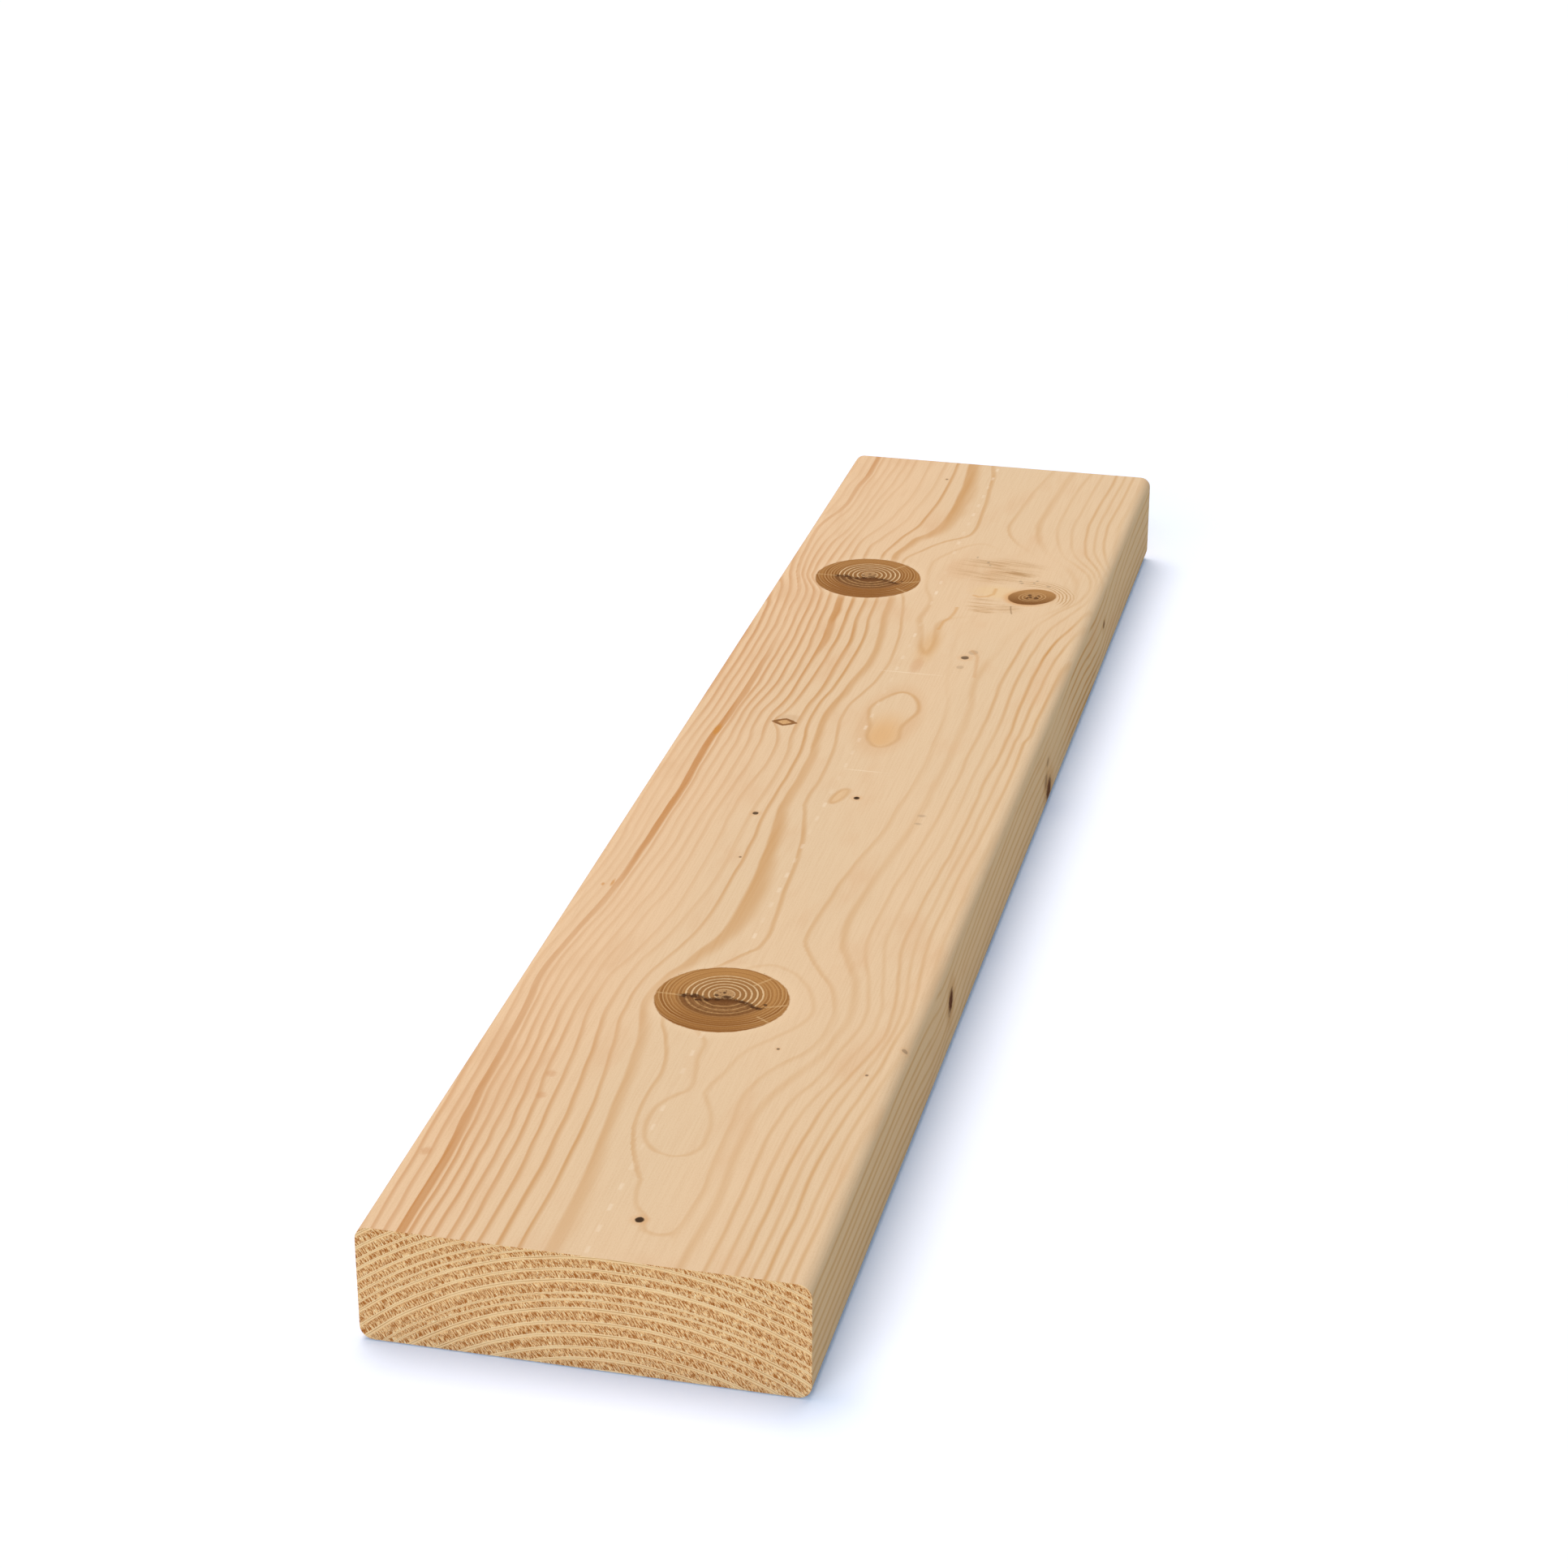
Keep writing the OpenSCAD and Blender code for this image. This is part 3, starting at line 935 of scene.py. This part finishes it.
holes = [
    (-0.42, 0.035, 0.065, 0.05), (-0.34, -0.06, 0.05, 0.035), (0.05, 0.09, 0.07, 0.04),
    (-0.11, 0.11, 0.035, 0.03), (-0.01, 0.21, 0.025, 0.03), (-0.57, 0.01, 0.035, 0.05),
    (0.66, -0.02, 0.03, 0.03), (-0.07, 0.0, 0.04, 0.03), (0.5, -0.11, 0.05, 0.03),
    (0.6, -0.16, 0.05, 0.03), (-0.22, -0.05, 0.04, 0.025), (0.3, 0.0, 0.05, 0.025),
]
# The open crack and the pits are painted dark as shade inside these hollows; the pits are also bumped in
# as relief.
open_crack = torn_edge.calc("ABSOLUTE").rise(0.03, 0.01) * u.rise(-0.64, -0.56) * u.rise(0.74, 0.66)
shaded_pit = open_crack * (older * -0.25 + 0.5)
for hole_u, hole_v, half_u, half_v in holes:
    pit = length((u - hole_u) / half_u, (v - hole_v) / half_v) + ragged * 1.6
    shaded_pit = shaded_pit.calc("MAXIMUM", pit.rise(1.2, 0.6))
branch = blend(tree, shaded_pit * (older * -0.3 + 0.85), branch, srgb(70, 42, 22))


def from_line(u, v, start, end):
    """Distance of the point (u, v) from a straight line between two points."""
    run = Vector(end) - Vector(start)
    pace = run / run.length_squared
    along = ((u - start[0]) * pace.x + (v - start[1]) * pace.y).within()
    return length(u - start[0] - along * run.x, v - start[1] - along * run.y)


splits = [
    ((-1.0, 0.0), (-0.62, 0.0)), ((0.36, 0.52), (0.58, 0.81)), ((0.68, -0.1), (1.0, 0.05)),
    ((0.64, -0.4), (0.83, -0.53)),
]
for start, end in splits:
    split = (from_line(u, v, start, end) + ragged * 0.06).rise(0.03, 0.005)
    branch = blend(tree, split * (ragged * 1.4 + 0.4), branch, srgb(214, 178, 128))
halo = away.rise(1.22, 1.02) * near
colour = blend(tree, halo * 0.25, colour, srgb(228, 200, 164))
rim = (away - 1.03).calc("ABSOLUTE").rise(0.05, 0.0)
rim_speck = rim * ragged.rise(0.12, 0.2) * v.rise(0.2, 0.7) * near
colour = blend(tree, rim_speck * 0.7, colour, srgb(128, 92, 58))
branch = blend(tree, away.rise(0.94, 1.0) * 0.35, branch, srgb(140, 94, 48))
colour = blend(tree, on_face, colour, branch)
height = height + on_face * (pale * 0.10 - lower * 0.05 - shaded_pit * 0.5 + ragged * 0.10)

# The small knot by the far end: a branch cut at a slant, with pale ringlets and dark specks at its
# heart. The grain bends round it, and was torn into short brown stripes in patches by its left.
slant_angle = math.radians(35)
stub_half_long = 12.2
stub_half_wide = 9.8
stub_x, stub_y, _ = knots[2]
stub_a = ((px - stub_x) * math.cos(slant_angle) + (py - stub_y) * math.sin(slant_angle)) / stub_half_long
stub_b = ((py - stub_y) * math.cos(slant_angle) - (px - stub_x) * math.sin(slant_angle)) / stub_half_wide
stub = length(stub_a, stub_b) + lumpy * 0.06
torn_patches = [
    (31, 247, 17, 5.5, 0.9), (26, 257, 24, 11, 0.55), (27, 240, 16, 6, 0.6), (12, 248, 12, 14, 0.3),
    (26, 234.5, 13, 3.5, 0.35), (27, 200, 10, 3, 0.7), (27, 195.5, 8, 3, 0.95), (25, 205, 9, 1.6, 0.5),
    (26, 210, 9, 1.8, 0.45), (38, 201, 9, 6, 0.5),
]
beyond = py.rise(215.0, 230.0)
level = py + beyond * px * 0.16 - beyond.turned() * (px - 25.0) ** 2.0 * 0.012 + lumpy * 1.2
stripes = noise(tree, joined(tree, level, px), (0.75, 0.035, 1.0), 2.0)
patches = []
for patch_x, patch_y, half_x, half_y, depth in torn_patches:
    patch = from_oval(tree, place, (patch_x, patch_y, thickness), (half_x, half_y, 6.0)) + ragged * 0.5
    patches.append(patch.rise(1.1, 0.3) * depth)
swirl = patches[0]
for patch in patches[1:]:
    swirl = swirl.calc("MAXIMUM", patch)
colour = blend(tree, swirl * 0.55, colour, srgb(202, 164, 121))
colour = blend(tree, swirl * stripes.rise(-0.04, 0.09) * 0.9, colour, srgb(168, 130, 86))
speck = swirl * (ragged + stripes * 0.4).rise(0.19, 0.26)
colour = blend(tree, speck * 0.4, colour, srgb(116, 88, 62))
yolk = from_oval(tree, place, (30.0, 221.0, thickness), (17.0, 12.0, 6.0)).rise(1.0, 0.3)
colour = blend(tree, yolk * 0.5, colour, srgb(220, 188, 140))
from_stub = length(px - stub_x, (py - stub_y) * 0.95) + lumpy * 1.4
beyond_stub = px + py - 266.0
arcs = from_stub.waves(13.4, 1.7).rise(0.0, 1.0)
arcs = arcs * from_stub.rise(12.0, 13.5) * from_stub.rise(23.0, 17.0)
colour = blend(tree, arcs * beyond_stub.rise(4.0, 14.0) * on_top * 0.8, colour, srgb(176, 134, 84))
stub_light = srgb(168, 124, 76)
stub_dark = srgb(116, 75, 38)
stub_share = ((py - stub_y) * -0.06 + fuzz * 0.6 + 0.42).within()
stub_wood = blend(tree, stub_share, stub_light, stub_dark)
ringlets = stub.waves(0.40, 0.15).rise(0.1, 1.0) * stub.rise(0.7, 0.5) * (ragged * 1.5 + 0.65)
stub_wood = blend(tree, ringlets, stub_wood, srgb(200, 160, 112))
stub_specks = [
    (46, 220.8, 1.1),
    (46.8, 218.2, 0.9),
    (49.6, 217.8, 1.3),
    (50.4, 220.9, 0.8),
    (45.2, 217, 0.9),
]
for speck_x, speck_y, half in stub_specks:
    pit = from_oval(tree, place, (speck_x, speck_y, thickness), (half, half * 1.2, 6.0)) + ragged * 0.8
    stub_wood = blend(tree, pit.rise(1.2, 0.6) * 0.8, stub_wood, srgb(72, 43, 22))
stub_halo = stub.rise(1.35, 0.95) * on_top * (beyond_stub.rise(6.0, -16.0) * 0.5 + 0.2)
colour = blend(tree, stub_halo, colour, srgb(204, 150, 92))
colour = blend(tree, stub.rise(1.04, 0.95) * on_top, colour, stub_wood)


def from_run(points):
    """Distance from a run of straight lines through points on the top, in millimetres."""
    nearest = from_line(px, py, points[0], points[1])
    for start, end in zip(points[1:], points[2:]):
        nearest = nearest.calc("MINIMUM", from_line(px, py, start, end))
    return nearest


# Strokes: short lines of darker grain that leave the growth rings. Each is a run of places across and
# along the top, a half width, a strength and a colour.
golden = srgb(198, 146, 84)
strokes = [
    ([(11, 168), (11.5, 178), (13.5, 183), (14.5, 190), (14.5, 197)], 1.5, 0.5, golden),
    ([(38.2, 115), (36.8, 128), (35.5, 138), (34, 142), (31.5, 145.5)], 1.6, 0.4, srgb(196, 148, 98)),
    ([(19.5, 214.5), (22, 213), (26, 214.5), (28.5, 218), (28.5, 225)], 1.5, 0.5, golden),
    ([(39.5, 204.5), (40, 201), (41.5, 195)], 0.6, 0.6, srgb(130, 98, 66)),
]
for run, half, depth, tone in strokes:
    stroke = (from_run(run) / half + ragged * 0.6).rise(1.0, 0.1) * on_top
    colour = blend(tree, stroke * depth, colour, tone)

# Blotches, specks and scratches on the top: the place across and along, the half sizes, how strong each
# is and its colour.
red = srgb(190, 134, 86)
resin = srgb(192, 130, 56)
grey = srgb(150, 128, 104)
light = srgb(236, 216, 186)
marks = [
    (-45, -284, 2.4, 2.8, 0.35, red), (-44, -300, 2.2, 2.8, 0.35, red), (-72, -347, 2.2, 3.2, 0.4, red),
    (-62.5, 30, 1.8, 6.5, 0.7, resin), (-66, -128, 0.8, 3.8, 0.6, resin),
    (-69.5, -130, 0.8, 1.6, 0.6, resin), (44, -37, 2.2, 1.4, 0.4, grey), (44, -45, 1.8, 1.2, 0.4, grey),
    (8, 113, 18, 0.6, 0.38, light), (10, 2, 10, 0.6, 0.35, light), (9.5, 123, 3.4, 11, 0.3, red),
    (38.5, 238, 1, 1, 0.6, grey), (39.5, 235.5, 1.2, 1, 0.6, grey), (45.5, 237, 0.8, 1.2, 0.5, grey),
    (46.5, 240, 0.8, 1.2, 0.5, grey), (53, 234, 1.2, 1.4, 0.5, grey),
    (18.5, 259.5, 0.8, 1.6, 0.6, grey), (20, 256, 0.7, 1.2, 0.5, grey), (12, 265, 0.6, 1.4, 0.5, grey),
]
for mark_x, mark_y, half_x, half_y, depth, tone in marks:
    mark = from_oval(tree, place, (mark_x, mark_y, thickness), (half_x, half_y, 3.0)) + ragged * 0.7
    colour = blend(tree, mark.rise(1.2, 0.4) * depth, colour, tone)

# Knots on the right side: three thin branches that meet the side at a slant, and the brown wood by
# them. The list holds the place along and up the side, the half sizes and how dark each is.
side_knots = [
    (-156.4, 23.4, 5.6, 6.8, 1.0), (80, 8.5, 8.0, 6.6, 0.95), (242, 24.4, 3.4, 2.6, 0.8),
    (71.5, 16, 5.0, 5.0, 0.5), (75, 24, 4.5, 2.4, 0.4), (-66, 3.4, 14, 1.4, 0.5),
]
for side_y, side_z, half_y, half_z, dark in side_knots:
    centre = (half_width, side_y, side_z)
    ring = from_oval(tree, place, centre, (3.0, half_y, half_z)) + ragged * 0.6 + lumpy * 0.5
    colour = blend(tree, ring.rise(2.2, 0.9) * (0.4 * dark), colour, srgb(184, 134, 76))
    colour = blend(tree, ring.rise(1.1, 0.4) * dark, colour, srgb(84, 42, 8))

bare_wood_gloss = 0.02


def finish_wood(tree, shader, colour, roughness, height, relief_share):
    """Joins a wood's colour, roughness and fine relief to its shader. Bare wood hardly shines."""
    parts = {"Strength": relief_share, "Distance": mm, "Height": height.socket}
    relief = shader_node(tree, "ShaderNodeBump", parts)
    tree.links.new(colour, shader.inputs["Base Color"])
    tree.links.new(roughness.socket, shader.inputs["Roughness"])
    tree.links.new(relief.outputs[0], shader.inputs["Normal"])
    shader.inputs["Specular IOR Level"].default_value = bare_wood_gloss


roughness = (late * -0.10 + fibre * 0.25 + on_face * -0.06 + 0.72).within()
finish_wood(tree, shader, colour, roughness, height, relief_share=0.8)
mesh.materials.append(planed)

# The sawn ends: smooth tan late wood between bands of early wood that the saw tore into short
# slanting strokes. The tear is real relief, and its strokes are painted partly as shade and
# highlight: darker brown between the torn fibres and cream flecks on them.
sawn, tree, shader = surface("sawn end grain")
place, (px, py, pz) = place_in_mm(tree)
rings = stored_value(tree, "end rings")
along_tear = px * tear_across[1] - pz * tear_across[0]
on_tear = joined(tree, px * tear_across[0] + pz * tear_across[1], along_tear, py * 0.1)
stroke = noise(tree, on_tear, (2.1, 0.42, 1.0), 2.0)
fine = noise(tree, on_tear, (3.8, 1.2, 1.0), 2.0)
drift = noise(tree, place, (0.05, 0.0, 0.05), 2.0)
part = (rings + drift * 0.2).calc("FRACT")
torn = (part + fine * 0.10).rise(0.09, 0.14) * (part + stroke * 0.45 + fine * 0.2).rise(0.93, 0.79)
tan = blend(tree, (fine * 1.6 + drift + 0.3).within(), srgb(243, 211, 165), srgb(230, 193, 147))
boundary = (part - 0.5).calc("ABSOLUTE").rise(0.455, 0.485) * (drift * 2.0 + 0.6).within()
tan = blend(tree, boundary, tan, srgb(178, 128, 78))
# The torn strokes: their brown is partly the early wood's own colour and partly painted shade between the
# torn fibres; the lighter tan beside it is partly painted highlight on them.
torn_tan_and_highlight = srgb(240, 197, 144)
torn_brown_and_shade = srgb(170, 104, 48)
brown = blend(tree, (stroke * 6.0 + fine * 4.0 + 0.48).within(), torn_tan_and_highlight, torn_brown_and_shade)
# Painted highlight: cream flecks on the torn fibres.
brown = blend(tree, (fine * 2.2 - stroke * 1.0).rise(0.22, 0.45), brown, srgb(255, 240, 200))
colour = blend(tree, torn, tan, brown)
roughness = (torn * 0.12 + fine * 0.2 + 0.75).within()
height = torn * (stroke * 0.5 + fine * 0.35) + fine * 0.04
finish_wood(tree, shader, colour, roughness, height, relief_share=0.7)
mesh.materials.append(sawn)

# Both woods go on the one piece: the planed faces come first in the mesh and the sawn ends after them.
# Faces are shaded smooth up to the sharp edge of the saw cut.
sharp_angle = math.radians(40)
slots = np.zeros(len(mesh.polygons), np.int32)
slots[end_start:] = 1
mesh.polygons.foreach_set("material_index", slots)
mesh.polygons.foreach_set("use_smooth", np.ones(len(mesh.polygons), bool))
mesh.set_sharp_from_angle(angle=sharp_angle)

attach(plank, "root")
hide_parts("plank")
